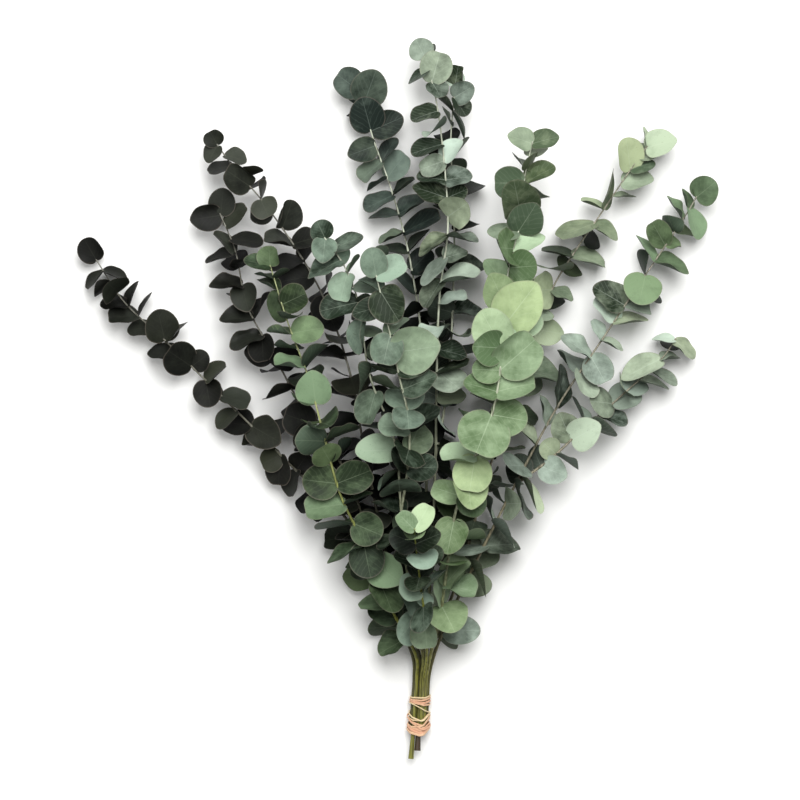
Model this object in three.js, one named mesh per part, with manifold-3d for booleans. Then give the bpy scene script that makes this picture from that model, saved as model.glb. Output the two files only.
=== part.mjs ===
// A tied bunch of dried round-leaved eucalyptus, lying flat as on a table.
// Millimetres, +Z up, cut ends towards -Y. The origin is on the surface, under the middle of the bunch.
// Each stalk grew as one piece: a tapering stem, at times with a side shoot, and opposite pairs of
// sessile leaves, every pair turned a quarter turn from the last. Two elastic bands tie the stems.
import * as THREE from 'three';
import { mergeVertices } from 'three/addons/utils/BufferGeometryUtils.js';
import Module from 'manifold-3d';

const wasm = await Module();
wasm.setup();
const { Manifold, Mesh } = wasm;

// ---------------------------------------------------------------------------------------------
// Driving dimensions
// ---------------------------------------------------------------------------------------------

// Stems
const STEM_RADIUS = 1.95;        // in the bundle
const CUT_END_RADIUS = 2.5;      // of the two stems that stick out, at their cut ends
const TIP_RADIUS = 0.85;
const SHOOT_SHARE = 0.72;        // radius of a side shoot, as a share of its stem's
const STEM_SIDES = 6;
const STEM_STEP = 27;            // length of one straight stretch of a stem

// The tied bundle: stems stacked like pipes, in rows across the bunch
const PITCH = 4.35;              // from stem to stem
const ROW_RISE = PITCH * Math.sin(Math.PI / 3);
const ROW_FLOOR = 4.0;           // height of the lowest row's axes
const BUNDLE = [                 // points on the bundle's middle line: x, y
  new THREE.Vector2(16.4, -303),
  new THREE.Vector2(18.3, -272),
  new THREE.Vector2(19.6, -250),
];
const HIDDEN_END = -301;         // most stems are cut off flush with the lower band

// Leaves
const LEAF_THICKNESS = 1.1;      // at the middle of a blade, thinning to its edge
const LEAF_GAP = 0.4;            // least air between one blade and what it passes
const ROOT = 0.45;               // how far a leaf's neck reaches past the stem's axis
const NECK = 0.24;               // share of a leaf's length in which it may touch its own stalk
const CUP = 0.13;                // how far the sides of a blade rise, as a share of its width
const CURL = 0.07;               // how far the tip bends back, as a share of its length
const BARE_BELOW = -222;         // no leaves grow nearer to the bands than this
const TIP_LEAF = 21;             // width of a leaf at a stalk's tip
const FULL_LEAF = 40;            // width of a leaf low on a stalk
const GROWTH = 110;              // distance from the tip over which leaves reach most of that
const TIP_SPACING = 11;          // between leaf pairs, at the tip and low down
const FULL_SPACING = 21;
const TIP_OPENING = 36;          // degrees between a leaf and its stem, at the tip and low down
const FULL_OPENING = 82;
const LAID_BACK = 34;            // more degrees for a leaf on top of its stem
const LAID_BACK_WITHIN = 60;     // less than that nearer to the tip than this

// Elastic bands
const STRAND = { thick: 1.5, wide: 2.2 };
const BAND_CLEARANCE = 0.6;      // between a band and the stems in it
const UPPER_TURNS = [[-268, 0], [-269.8, 0.5], [-271.6, 0], [-273.2, 1.2]];   // y, lean
const LOWER_TURNS = [
  [-291, -0.8], [-292.8, 0.6], [-294.6, 0], [-296.4, 0.4], [-298.2, 0], [-300, 0],
];

// Half of a leaf's outline, as shares of its length and width, from its short stalk to its tip
const OUTLINE = [
  [0.13, 0.06],
  [0.35, 0.5],
  [0.8, 0.46],
];

// ---------------------------------------------------------------------------------------------
// The stalks, from the left of the bunch to the right. slot is the place in the tied bundle: across
// in pitches, then the row. route runs from the bundle to the tip. roll turns the leaf pairs about
// the stem. leaves are the ones that show most, each with the x and y of its middle and its width,
// and then, where it doesn't lie face up, the degrees that it is lifted and twisted.
// ---------------------------------------------------------------------------------------------

const STALKS = [
  {
    name: 'stalk_01',
    colour: 0x3c4438,
    slot: [-1, 0],
    roll: 20,
    route: [
      [15, -234, 6.5], [-14, -180, 10.5], [-43, -115, 17], [-99, -59, 20], [-148, -10, 20],
      [-216, 57, 19], [-250, 89, 17], [-276, 128, 14],
    ],
    leaves: [
      [-281, 137, 25], [-279, 107, 22, 5, 68], [-257, 113, 26, 5, 74], [-259, 101, 33, 72],
      [-261, 90, 24, 5, 54], [-242, 98, 26, 5, 74], [-255, 76, 26, 10, 48], [-238, 67, 26, 10, 25],
      [-216, 68, 33], [-204, 66, 28, 10, 76], [-219, 46, 26, 10, 25], [-204, 41, 33], [-181, 36, 22],
      [-195, 24, 22], [-167, 25, 30, 10, 60], [-173, 3, 28], [-177, 12, 24, 10, 20],
      [-146, 0, 28, 10, 54], [-158, -18, 25, 10, 60], [-119, -32, 33], [-135, -34, 26, 10, 25],
      [-117, -54, 24], [-112, -67, 27, 10, 35], [-90, -58, 26], [-97, -77, 28, 10, 54],
    ],
  },
  {
    name: 'stalk_02',
    colour: 0x39433a,
    slot: [-1.5, 1],
    roll: 65,
    route: [
      [12, -234, 11.5], [-11, -180, 21], [-24, -138, 28], [-50, -63, 34], [-86, -11, 36],
      [-115, 43, 34], [-138, 85, 31], [-149, 135, 26], [-163, 169, 22],
    ],
    leaves: [
      [-161, 180, 25], [-176, 165, 28], [-144, 172, 24, 10, 48], [-160, 144, 29, 10, 68],
      [-166, 128, 28, 10, 74], [-134, 144, 26, 10, 60], [-160, 104, 29, 10, 60],
      [-148, 74, 31, 10, 54], [-143, 52, 28, 10, 54], [-124, 45, 28], [-139, 90, 27],
      [-104, 35, 30, 10, 30], [-92, -17, 32], [-79, -22, 24], [-90, -43, 24], [-67, -99, 24],
    ],
  },
  {
    name: 'stalk_03',
    colour: 0x414d40,
    slot: [-0.5, 1],
    roll: 10,
    route: [
      [18, -234, 12], [3, -196, 21], [-14, -131, 36], [-32, -45, 47], [-46, 28, 46],
      [-72, 99, 40], [-119, 173, 32], [-151, 211, 28], [-166, 232, 25],
    ],
    leaves: [
      [-168, 236, 20], [-170, 222, 20, 10, 30], [-165, 209, 24, 10, 54], [-149, 219, 23, 10, 48],
      [-149, 202, 31], [-130, 207, 24, 5, 74], [-144, 190, 25, 10, 20], [-122, 173, 27],
      [-101, 168, 30], [-112, 145, 29, 10, 60], [-86, 144, 28, 10, 35], [-117, 121, 29, 10, 60],
      [-103, 108, 30, 10, 30], [-63, 76, 32], [-59, -22, 26, 10, 54],
    ],
  },
  {
    name: 'stalk_04',
    colour: 0x5f7a5c,
    slot: [-1, 2],
    cutEnd: [9.9, -325.5, 11.4],
    roll: 80,
    route: [
      [15, -234, 18], [-10, -184, 37], [-30, -134, 52], [-53, -86, 63], [-68, -32, 69],
      [-83, 23, 69], [-100, 68, 64], [-117, 122, 56],
    ],
    leaves: [
      [-117, 128, 24], [-130, 124, 24, 10, 54], [-94, 91, 29], [-103, 80, 29, 10, 35],
      [-81, 63, 30, 10, 35], [-92, 58, 30], [-77, 10, 35], [-68, -45, 29], [-72, -73, 34],
      [-82, -97, 33, 10, 35], [-34, -66, 31], [-29, -116, 33], [-53, -138, 31, 5, 68], [-29, -146, 33],
      [-9, -157, 44, 20, 68], [-14, -189, 38], [-7, -222, 33, 5, 48],
    ],
  },
  {
    name: 'stalk_05',
    colour: 0x6e8b70,
    slot: [0, 2],
    cutEnd: [15.8, -318, 12.2],
    roll: 35,
    route: [
      [21, -234, 18], [13, -196, 33], [5, -144, 53], [1, -99, 66], [-5, -36, 77],
      [-27, 22, 83], [-38, 90, 80], [-50, 120, 77], [-68, 146, 73],
    ],
    leaves: [
      [-70, 151, 23], [-68, 132, 25], [-45, 142, 29, 10, 60], [-51, 126, 27], [-73, 110, 28, 10, 54],
      [-51, 99, 29, 10, 25], [-60, 84, 30, 10, 20], [-33, 55, 35, 10, 54], [-45, 40, 33],
      [-27, -9, 35, 10, 42], [-3, -8, 31, 10, 48], [5, -44, 33, 10, 35], [-32, -45, 31, 10, 15],
      [-1, -74, 40, 62], [-4, -205, 46, 8, 76], [22, -176, 40, 20, 60],
    ],
    shoot: {
      from: 3,
      route: [[7, -60, 80], [8, -18, 92], [0, 18, 98], [-14, 81, 100], [-24, 122, 97]],
      roll: 0,
      leaves: [
        [-24, 126, 25], [-4, 119, 27, 10, 30], [-25, 102, 27, 10, 54], [-9, 83, 36],
        [-35, 84, 26, 10, 48], [14, 45, 46], [-12, 44, 34], [16, 31, 27, 34], [22, 18, 28],
      ],
    },
  },
  {
    name: 'stalk_06',
    colour: 0x55685a,
    slot: [0, 0],
    roll: 50,
    route: [
      [21, -234, 6.5], [22, -180, 13], [23, -126, 19], [24, -27, 23], [20, 54, 23],
      [6, 141, 21], [-9, 194, 20], [-25, 239, 19], [-36, 281, 17],
    ],
    leaves: [
      [-48, 288, 30], [-26, 286, 34], [-31, 261, 33], [-7, 252, 27], [-36, 225, 25],
      [-3, 213, 32, 10, 40], [-28, 206, 28, 10, 54], [6, 196, 24, 5, 76], [-21, 179, 31, 10, 54],
      [11, 176, 32, 10, 60], [-16, 167, 30, 5, 76], [24, 163, 36, 10, 60], [-9, 147, 27, 5, 76],
      [18, 147, 24, 5, 74], [-5, 136, 28, 10, 66], [19, 129, 26, 10, 30], [28, 121, 28, 10, 60],
      [-1, 124, 28, 10, 66], [20, 109, 26, 5, 74], [35, -58, 34, 10, 60],
    ],
  },
  {
    name: 'stalk_07',
    colour: 0x8ba489,
    slot: [0.5, 1],
    roll: 30,
    route: [
      [24, -234, 12.5], [27, -162, 31], [30, -108, 41], [32, -50, 49], [33, 25, 51],
      [36, 99, 48], [43, 153, 44], [40, 212, 40], [32, 273, 36], [22, 311, 33],
    ],
    leaves: [
      [19, 316, 24], [33, 302, 30], [13, 293, 20, 10, 68], [32, 280, 24, 10, 30],
      [22, 257, 30, 10, 48], [21, 226, 28, 10, 50], [46, 227, 27, 10, 48], [23, 209, 22],
      [28, 200, 30, 10, 45], [52, 200, 30, 10, 50], [23, 189, 27, 10, 35], [49, 185, 28, 10, 35],
      [52, 171, 34, 55], [57, 146, 32, 5, 76], [28, 142, 32, 10, 66], [55, 113, 36, 10, 68],
      [29, 114, 34, 10, 66], [28, 94, 30, 10, 50], [52, 93, 24, 5, 74], [47, 43, 28, 10, 54],
      [53, 27, 28, 10, 70], [20, 10, 36], [44, 12, 33], [25, -19, 32, 10, 40], [15, -54, 30, 5, 76],
    ],
    shoot: {
      from: 3,
      route: [[41, -1, 37], [46, 50, 32], [48, 99, 29], [49, 170, 28], [46, 235, 28], [50, 286, 27]],
      roll: 70,
      leaves: [[51, 293, 24, 10, 30], [59, 279, 24], [54, 266, 26, 10, 60], [54, 248, 30, 5, 76]],
    },
  },
  {
    name: 'stalk_08',
    colour: 0xa3bf94,
    slot: [1, 2],
    roll: 60,
    route: [
      [27, -234, 19], [37, -189, 37], [43, -144, 53], [48, -108, 65], [61, -63, 75],
      [76, -32, 80], [86, 4, 82], [93, 63, 80], [97, 117, 74], [108, 160, 67], [111, 195, 61],
      [119, 232, 55],
    ],
    leaves: [
      [108, 234, 25, 10, 20], [132, 234, 23, 10, 30], [126, 203, 33, 10, 60], [93, 194, 31],
      [104, 183, 42, 55], [117, 167, 37], [90, 151, 28, 10, 54], [115, 144, 29, 10, 48],
      [90, 135, 38, 62], [87, 118, 35, 10, 25], [113, 119, 32], [86, 101, 32], [108, 86, 48],
      [80, 66, 38], [135, 72, 30, 5, 20], [108, 43, 46], [79, 47, 35], [77, 27, 28],
      [72, 12, 36, 10, 40], [107, 13, 37, 10, 40], [95, -14, 39], [72, -36, 49], [50, -50, 36, 10, 54],
      [64, -69, 36], [64, -92, 31, 10, 35], [33, -79, 25], [45, -124, 33], [52, -151, 33, 10, 45],
      [55, -169, 37, 10, 58], [38, -168, 36, 5, 72],
    ],
  },
  {
    name: 'stalk_09',
    colour: 0x7c9a76,
    slot: [1, 0],
    roll: 15,
    route: [
      [27, -234, 7], [54, -158, 15], [78, -72, 21], [101, 0, 23], [137, 99, 23],
      [160, 137, 23], [180, 166, 22], [209, 209, 21], [224, 230, 20],
    ],
    leaves: [
      [236, 232, 31, 12, 25], [205, 225, 31, 10, 20], [216, 199, 31, 10, 48], [191, 194, 33, 5, 74],
      [171, 179, 22, 5, 68], [186, 153, 28, 10, 54], [161, 147, 38, 5, 60], [140, 138, 30, 5, 68],
      [122, 99, 36, 60], [149, 94, 22, 10, 60], [135, 62, 28], [74, -144, 38, 8, 68], [74, -167, 29],
      [88, -130, 32, 10, 76],
    ],
  },
  {
    name: 'stalk_10',
    colour: 0x6f8f68,
    slot: [1.5, 1],
    roll: 45,
    route: [
      [30, -234, 13.5], [42, -202, 22], [75, -133, 37], [104, -76, 42], [140, -9, 40],
      [184, 57, 34], [217, 106, 29], [259, 168, 23], [269, 185, 20],
    ],
    leaves: [
      [275, 189, 31], [249, 175, 28, 5, 74], [267, 158, 31, 10, 60], [232, 153, 25],
      [246, 145, 26, 10, 30], [220, 142, 25, 5, 68], [247, 121, 32, 5, 60], [186, 96, 31, 10, 25],
      [218, 98, 36], [207, 72, 38, 5, 68], [177, 66, 20, 5, 54], [192, 50, 22, 5, 68],
      [158, 50, 31, 10, 60], [180, 25, 29], [149, 14, 40, 5, 74], [130, -9, 32, 5, 76],
      [112, -27, 28, 10, 74], [101, -93, 34, 68], [60, -208, 30], [50, -191, 32, 15, 30],
      [52, -226, 34, 5, 60], [19, -228, 34, 15, 20],
    ],
    shoot: {
      from: 3,
      route: [[137, -52, 39], [162, -29, 34], [198, 2, 27], [240, 41, 20], [250, 56, 17]],
      roll: 10,
      leaves: [
        [258, 46, 28, 10, 54], [239, 55, 25, 5, 74], [216, 29, 38, 10, 54], [241, 20, 27, 5, 74],
        [207, 8, 34, 10, 20], [180, -5, 31, 10, 20], [194, -17, 28, 10, 54], [171, -30, 36, 10, 20],
        [149, -24, 29], [138, -64, 28], [133, -42, 22],
      ],
    },
  },
  {
    name: 'stalk_11',
    colour: 0x86a083,
    slot: [0.5, 3],
    roll: 0,
    route: [
      [24, -234, 25], [23, -202, 44], [19, -170, 66], [15, -138, 90], [13, -118, 112], [13, -114, 122],
    ],
    leaves: [[10, -122, 28], [20, -98, 22, 10, 20], [3, -103, 19, 10, 20], [23, -210, 34, 10, 40]],
  },
];

// ---------------------------------------------------------------------------------------------
// Small helpers
// ---------------------------------------------------------------------------------------------

const UP = new THREE.Vector3(0, 0, 1);
const radians = THREE.MathUtils.degToRad;

const STALK_SEED = 7919;
const SHOOT_SEED = 104729;

// A repeatable stream of numbers from 0 to 1 for each stalk, so that no two stalks look alike.
function numberStream(seed) {
  let state = seed >>> 0;
  return () => {
    state = (Math.imul(state, 1664525) + 1013904223) >>> 0;
    return state / 4294967296;
  };
}

function solidFrom(geometry) {
  const bare = geometry.clone();
  bare.deleteAttribute('normal');
  bare.deleteAttribute('uv');
  const merged = mergeVertices(bare, 1e-4);
  return new Manifold(new Mesh({
    numProp: 3,
    vertProperties: new Float32Array(merged.attributes.position.array),
    triVerts: new Uint32Array(merged.index.array),
  }));
}

function geometryFrom(solid) {
  const { vertProperties, triVerts, numProp } = solid.getMesh();
  const geometry = new THREE.BufferGeometry();
  const positions = new Float32Array((vertProperties.length / numProp) * 3);
  for (let i = 0; i < positions.length / 3; i += 1) {
    positions.set(vertProperties.subarray(i * numProp, i * numProp + 3), i * 3);
  }
  geometry.setAttribute('position', new THREE.BufferAttribute(positions, 3));
  geometry.setIndex(new THREE.BufferAttribute(new Uint32Array(triVerts), 1));
  geometry.computeVertexNormals();
  return geometry;
}

// ---------------------------------------------------------------------------------------------
// Stems
// ---------------------------------------------------------------------------------------------

function bundlePoint(y, [across, row]) {
  const [low, mid, high] = BUNDLE;
  const from = y < mid.y ? low : mid;
  const to = y < mid.y ? mid : high;
  const x = from.x + ((to.x - from.x) * (y - from.y)) / (to.y - from.y);
  return new THREE.Vector3(x + across * PITCH, y, ROW_FLOOR + row * ROW_RISE);
}

// A curve with its stem's radius along it, and the solid of the stem.
function makeAxis(points, baseRadius, endRadius) {
  const curve = new THREE.CatmullRomCurve3(points, false, 'centripetal');
  curve.arcLengthDivisions = 400;
  const length = curve.getLength();
  const radiusAt = (s) => {
    const taper = baseRadius + (TIP_RADIUS - baseRadius) * (s / length);
    const heel = Math.max(0, 1 - s / STEM_STEP) * (endRadius - baseRadius);
    return taper + heel;
  };
  const steps = Math.round(length / STEM_STEP);
  const section = new THREE.Shape();
  for (let i = 0; i < STEM_SIDES; i += 1) {
    const angle = (i / STEM_SIDES) * 2 * Math.PI;
    section[i === 0 ? 'moveTo' : 'lineTo'](Math.cos(angle), Math.sin(angle));
  }
  section.closePath();
  const geometry = new THREE.ExtrudeGeometry(section, {
    steps,
    extrudePath: curve,
    bevelEnabled: false,
  });
  // The extrusion has a radius of 1, and each ring of it is then grown to the stem's own radius.
  const centres = curve.getSpacedPoints(steps);
  const position = geometry.attributes.position;
  const vertex = new THREE.Vector3();
  for (let i = 0; i < position.count; i += 1) {
    vertex.fromBufferAttribute(position, i);
    const ring = nearestIndex(centres, vertex);
    const grown = vertex.sub(centres[ring]).multiplyScalar(radiusAt((ring / steps) * length));
    grown.add(centres[ring]);
    position.setXYZ(i, grown.x, grown.y, grown.z);
  }
  // The middle line of the straight stretches, on which the leaves root.
  const onLine = (s) => {
    const at = THREE.MathUtils.clamp((s / length) * steps, 0, steps - 0.001);
    return centres[Math.floor(at)].clone().lerp(centres[Math.floor(at) + 1], at % 1);
  };
  return { curve, length, radiusAt, onLine, solid: solidFrom(geometry) };
}

function nearestIndex(points, target) {
  let best = 0;
  points.forEach((point, i) => {
    if (point.distanceToSquared(target) < points[best].distanceToSquared(target)) best = i;
  });
  return best;
}

function mainAxis(stalk) {
  const tied = [-289, -272, -252].map((y) => bundlePoint(y, stalk.slot));
  const end = stalk.cutEnd ? new THREE.Vector3(...stalk.cutEnd) : bundlePoint(HIDDEN_END, stalk.slot);
  const free = stalk.route.map((point) => new THREE.Vector3(...point));
  return makeAxis([end, ...tied, ...free], STEM_RADIUS, stalk.cutEnd ? CUT_END_RADIUS : STEM_RADIUS);
}

function shootAxis(stalk) {
  const { from, route } = stalk.shoot;
  const points = [stalk.route[from], ...route].map((point) => new THREE.Vector3(...point));
  return makeAxis(points, STEM_RADIUS * SHOOT_SHARE, STEM_RADIUS * SHOOT_SHARE);
}

// ---------------------------------------------------------------------------------------------
// Leaves
// ---------------------------------------------------------------------------------------------

// The solid of a blade: a sphere of eight sides and two bands, whose equator is drawn out to the
// leaf's outline and whose poles are drawn together to its two faces. start is how far along the
// blade it begins.
function bladeSolid(leaf, start = 0) {
  const sides = 2 * OUTLINE.length + 2;
  const geometry = new THREE.SphereGeometry(1, sides, 2);
  const across = new THREE.Vector3().crossVectors(leaf.facing, leaf.along);
  const outline = [
    [start || -ROOT / leaf.length, 0],
    ...OUTLINE.map(([u, v]) => [u, -v]),
    [1, 0],
    ...OUTLINE.map(([u, v]) => [u, v]).reverse(),
  ];
  const position = geometry.attributes.position;
  const vertex = new THREE.Vector3();
  for (let i = 0; i < position.count; i += 1) {
    vertex.fromBufferAttribute(position, i);
    const pole = Math.abs(vertex.y) > 0.5;
    const turn = Math.round((Math.atan2(vertex.z, -vertex.x) / (2 * Math.PI)) * sides + sides) % sides;
    const [u, v] = pole ? [0.5, 0] : outline[turn];
    const half = pole ? Math.sign(vertex.y) * (LEAF_THICKNESS / 2) : 0;
    const point = bladePoint(leaf, u, v, across).addScaledVector(leaf.facing, half);
    position.setXYZ(i, point.x, point.y, point.z);
  }
  return solidFrom(geometry);
}

// A point of the blade's middle surface, at shares u of its length and v of its width.
function bladePoint(leaf, u, v, across) {
  const rise = CUP * leaf.width * 4 * v * v - leaf.curl * leaf.length * u * u;
  return leaf.base.clone()
    .addScaledVector(leaf.along, u * leaf.length)
    .addScaledVector(across, v * leaf.width)
    .addScaledVector(leaf.facing, rise);
}

// Ways to move a leaf that meets something: degrees up, degrees of twist, share of its size.
const WAYS = [
  [0, 0, 1], [12, 0, 1], [-12, 0, 1], [0, 25, 1], [0, -25, 1], [20, 20, 0.92], [20, -20, 0.92],
  [-20, 20, 0.92], [-20, -20, 0.92], [32, 0, 0.9], [-32, 0, 0.9], [0, 50, 0.85], [0, -50, 0.85],
  [45, 0, 0.8], [-45, 0, 0.8], [0, 75, 0.8], [0, -75, 0.8], [0, 0, 0.7],
];

function moved(leaf, [lift, twist, share], hinge) {
  const along = leaf.along.clone().applyAxisAngle(hinge, radians(lift));
  const facing = leaf.facing.clone().applyAxisAngle(hinge, radians(lift));
  facing.applyAxisAngle(along, radians(twist));
  const { length, width } = leaf;
  return { ...leaf, along, facing, length: length * share, width: width * share };
}

// Whether a blade keeps its distance from the others.
function clearOf(blade, others) {
  const around = boxOf(blade).expandByScalar(LEAF_GAP);
  return others.every(({ box, solid }) => (
    !box.intersectsBox(around) || blade.minGap(solid, LEAF_GAP) >= LEAF_GAP
  ));
}

function boxOf(solid) {
  const { min, max } = solid.boundingBox();
  return new THREE.Box3(new THREE.Vector3(...min), new THREE.Vector3(...max));
}

// Places a leaf where it meets nothing, or leaves it out where it can't grow at all.
function placeLeaf(leaf, stalk, placed) {
  const hinge = new THREE.Vector3().crossVectors(leaf.facing, leaf.along).normalize();
  for (const way of WAYS) {
    const tried = moved(leaf, way, hinge);
    const solid = bladeSolid(tried);
    const box = boxOf(solid);
    const own = placed.filter((item) => item.stalk === stalk);
    const others = placed.filter((item) => item.stalk !== stalk);
    if (box.min.z > 0 && clearOf(solid, others) && clearOf(bladeSolid(tried, NECK), own)) {
      placed.push({ stalk, box, solid });
      return;
    }
  }
}

function frameAt(axis, s) {
  const t = Math.min(0.9999, Math.max(0, s / axis.length));
  const tangent = axis.curve.getTangentAt(t);
  const right = new THREE.Vector3().crossVectors(tangent, UP).normalize();
  return {
    point: axis.onLine(s),
    tangent,
    right,
    over: new THREE.Vector3().crossVectors(right, tangent),
  };
}

// The nodes of a stem, where its leaves grow, from the tip down to the bare part.
function nodesOf(axis, next) {
  const nodes = [];
  let s = axis.length - 2;
  while (s > 6 && axis.onLine(s).y > BARE_BELOW) {
    const fromTip = axis.length - s;
    const grown = 1 - Math.exp(-fromTip / GROWTH);
    nodes.push({ ...frameAt(axis, s), fromTip, grown, sides: [] });
    s -= (TIP_SPACING + (FULL_SPACING - TIP_SPACING) * grown) * (0.92 + 0.16 * next());
  }
  return nodes;
}

// A leaf whose middle and width are known grows from the node that suits its length best. Its twist
// turns its upper face towards the tip of the stem.
function knownLeaf(nodes, [x, y, width, lift = 18, twist = 0]) {
  const middle = new THREE.Vector2(x, y);
  const seen = width * 0.5 * Math.cos(radians(lift));
  const misfit = ({ point, sides }) => {
    const reach = middle.distanceTo(new THREE.Vector2(point.x, point.y));
    return Math.abs(reach - seen) + (reach < seen * 0.5 ? width : 0) + (sides.length > 1 ? 1000 : 0);
  };
  const node = nodes.reduce((a, b) => (misfit(b) < misfit(a) ? b : a));
  const base = node.point.clone();
  const along = new THREE.Vector3(x - base.x, y - base.y, 0);
  const length = (along.length() + seen) / Math.cos(radians(lift));
  along.normalize();
  const side = new THREE.Vector3().crossVectors(UP, along);
  along.applyAxisAngle(side, radians(-lift));
  const towardsTip = side.dot(node.tangent) > 0 ? -1 : 1;
  const facing = new THREE.Vector3().crossVectors(along, side);
  facing.applyAxisAngle(along, radians(twist * towardsTip));
  const out = along.clone().addScaledVector(node.tangent, -along.dot(node.tangent)).normalize();
  node.sides.push(out);
  return { base, along, facing, length: Math.min(length, width * 1.25), width, curl: CURL };
}

// The other leaves make up the pairs, each pair a quarter turn from the last. Near the tip they
// stand close to the stem, lower down they stand off it, and those on top lie back over it.
function otherLeaves(nodes, roll, next) {
  const leaves = [];
  nodes.forEach(({ point, tangent, right, over, fromTip, grown, sides }, i) => {
    const turn = radians(roll + i * 90 + (next() - 0.5) * 30);
    const first = right.clone().multiplyScalar(Math.cos(turn)).addScaledVector(over, Math.sin(turn));
    const outs = sides.length ? [sides[0].clone().negate()] : [first, first.clone().negate()];
    for (const out of outs.slice(0, 2 - sides.length)) {
      const back = LAID_BACK * Math.max(0, out.z) * Math.min(1, fromTip / LAID_BACK_WITHIN);
      const usual = TIP_OPENING + (FULL_OPENING - TIP_OPENING) * grown;
      const opening = radians(usual + back + (next() - 0.5) * 26);
      const along = out.clone().multiplyScalar(Math.sin(opening));
      along.addScaledVector(tangent, Math.cos(opening)).normalize();
      const facing = out.clone().multiplyScalar(-Math.cos(opening));
      facing.addScaledVector(tangent, Math.sin(opening)).normalize();
      facing.applyAxisAngle(along, radians((next() - 0.5) * 60));
      const width = (TIP_LEAF + (FULL_LEAF - TIP_LEAF) * grown) * (0.84 + 0.3 * next());
      const length = width * (0.84 + 0.2 * next());
      const curl = CURL * 2 * next();
      leaves.push({ base: point.clone(), along, facing, length, width, curl, fromTip });
    }
  });
  return leaves;
}

// ---------------------------------------------------------------------------------------------
// Elastic bands
// ---------------------------------------------------------------------------------------------

// One turn of elastic round the bundle at height y, its far side lean higher or lower than the near.
function bandTurn(y, lean, slots) {
  const geometry = new THREE.TorusGeometry(1, 0.25, 5, 18);
  const position = geometry.attributes.position;
  for (let i = 0; i < position.count; i += 1) {
    const [x, z, depth] = [position.getX(i), position.getY(i), position.getZ(i)];
    const angle = Math.atan2(z, x);
    const outward = new THREE.Vector3(Math.cos(angle), 0, Math.sin(angle));
    const here = y + lean * Math.cos(angle);
    const centres = slots.map((slot) => bundlePoint(here, slot));
    const outer = centres.reduce((a, b) => (b.dot(outward) > a.dot(outward) ? b : a));
    const proud = (Math.hypot(x, z) - 1) / 0.25;
    const reach = STEM_RADIUS + BAND_CLEARANCE + (STRAND.thick / 2) * (1 + proud);
    const point = outer.clone().addScaledVector(outward, reach);
    position.setXYZ(i, point.x, point.y - (depth / 0.25) * (STRAND.wide / 2), point.z);
  }
  return solidFrom(geometry);
}

function bandSolid(turns, slots) {
  return Manifold.union(turns.map(([y, lean]) => bandTurn(y, lean, slots)));
}

// ---------------------------------------------------------------------------------------------
// The bunch
// ---------------------------------------------------------------------------------------------

function named(name, solid, material) {
  const mesh = new THREE.Mesh(geometryFrom(solid), material);
  mesh.name = name;
  return mesh;
}

const axes = STALKS.flatMap((stalk, i) => {
  const grown = [{ stalk, axis: mainAxis(stalk), next: numberStream(STALK_SEED * (i + 1)), ...stalk }];
  if (stalk.shoot) {
    grown.push({ stalk, axis: shootAxis(stalk), next: numberStream(SHOOT_SEED * (i + 1)), ...stalk.shoot });
  }
  return grown;
});

const placed = axes.map(({ stalk, axis: { solid } }) => ({ stalk, box: boxOf(solid), solid }));
const others = [];
for (const { stalk, axis, leaves, roll, next } of axes) {
  const nodes = nodesOf(axis, next);
  for (const known of leaves) placeLeaf(knownLeaf(nodes, known), stalk, placed);
  for (const leaf of otherLeaves(nodes, roll, next)) others.push({ stalk, leaf });
}
others.sort((a, b) => a.leaf.fromTip - b.leaf.fromTip);
for (const { stalk, leaf } of others) placeLeaf(leaf, stalk, placed);

const bunch = new THREE.Group();
for (const stalk of STALKS) {
  const grown = placed.filter((item) => item.stalk === stalk).map((item) => item.solid);
  const material = new THREE.MeshStandardMaterial({ color: stalk.colour, roughness: 0.72, metalness: 0 });
  bunch.add(named(stalk.name, Manifold.union(grown), material));
}

const elastic = new THREE.MeshStandardMaterial({ color: 0xe3b190, roughness: 0.6, metalness: 0 });
const slots = STALKS.map((stalk) => stalk.slot);
bunch.add(named('upper_band', bandSolid(UPPER_TURNS, slots), elastic));
bunch.add(named('lower_band', bandSolid(LOWER_TURNS, slots), elastic));

export default bunch;
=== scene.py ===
"""A tied bunch of dried round-leaved eucalyptus, lying flat and seen from above.

Metres, +Z up, the cut ends towards -Y, in the frame of the loaded parts. Each stalk of the frame gives
the place, size and tilt of its leaves. The stems follow the same routes as there, and the elastic tie
is wound round the same bundle.
"""
import math
import random

import bmesh
import bpy
from bpy.props import FloatProperty, FloatVectorProperty, IntProperty, PointerProperty
from mathutils import Matrix, Vector
from mathutils.bvhtree import BVHTree


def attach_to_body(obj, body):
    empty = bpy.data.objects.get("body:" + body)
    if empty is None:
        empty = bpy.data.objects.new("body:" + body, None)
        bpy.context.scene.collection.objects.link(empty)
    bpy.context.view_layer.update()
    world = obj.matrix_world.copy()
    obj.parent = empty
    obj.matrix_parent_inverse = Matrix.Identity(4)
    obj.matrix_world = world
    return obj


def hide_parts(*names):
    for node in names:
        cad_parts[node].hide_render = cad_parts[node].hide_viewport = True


bl_info = {
    "name": "Dried eucalyptus bunch",
    "version": (1, 0, 0),
    "blender": (4, 5, 0),
    "location": "3D View > Sidebar > Eucalyptus",
    "description": "Builds the leaves, stems and elastic tie of a dried eucalyptus bunch",
    "category": "Object",
}

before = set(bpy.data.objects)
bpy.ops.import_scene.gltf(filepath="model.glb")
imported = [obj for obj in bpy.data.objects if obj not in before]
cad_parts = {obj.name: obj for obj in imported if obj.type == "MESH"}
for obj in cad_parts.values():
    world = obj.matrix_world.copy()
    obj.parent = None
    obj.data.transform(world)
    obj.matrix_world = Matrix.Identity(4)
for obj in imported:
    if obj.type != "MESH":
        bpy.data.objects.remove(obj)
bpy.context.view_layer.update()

MM = 0.001

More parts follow.
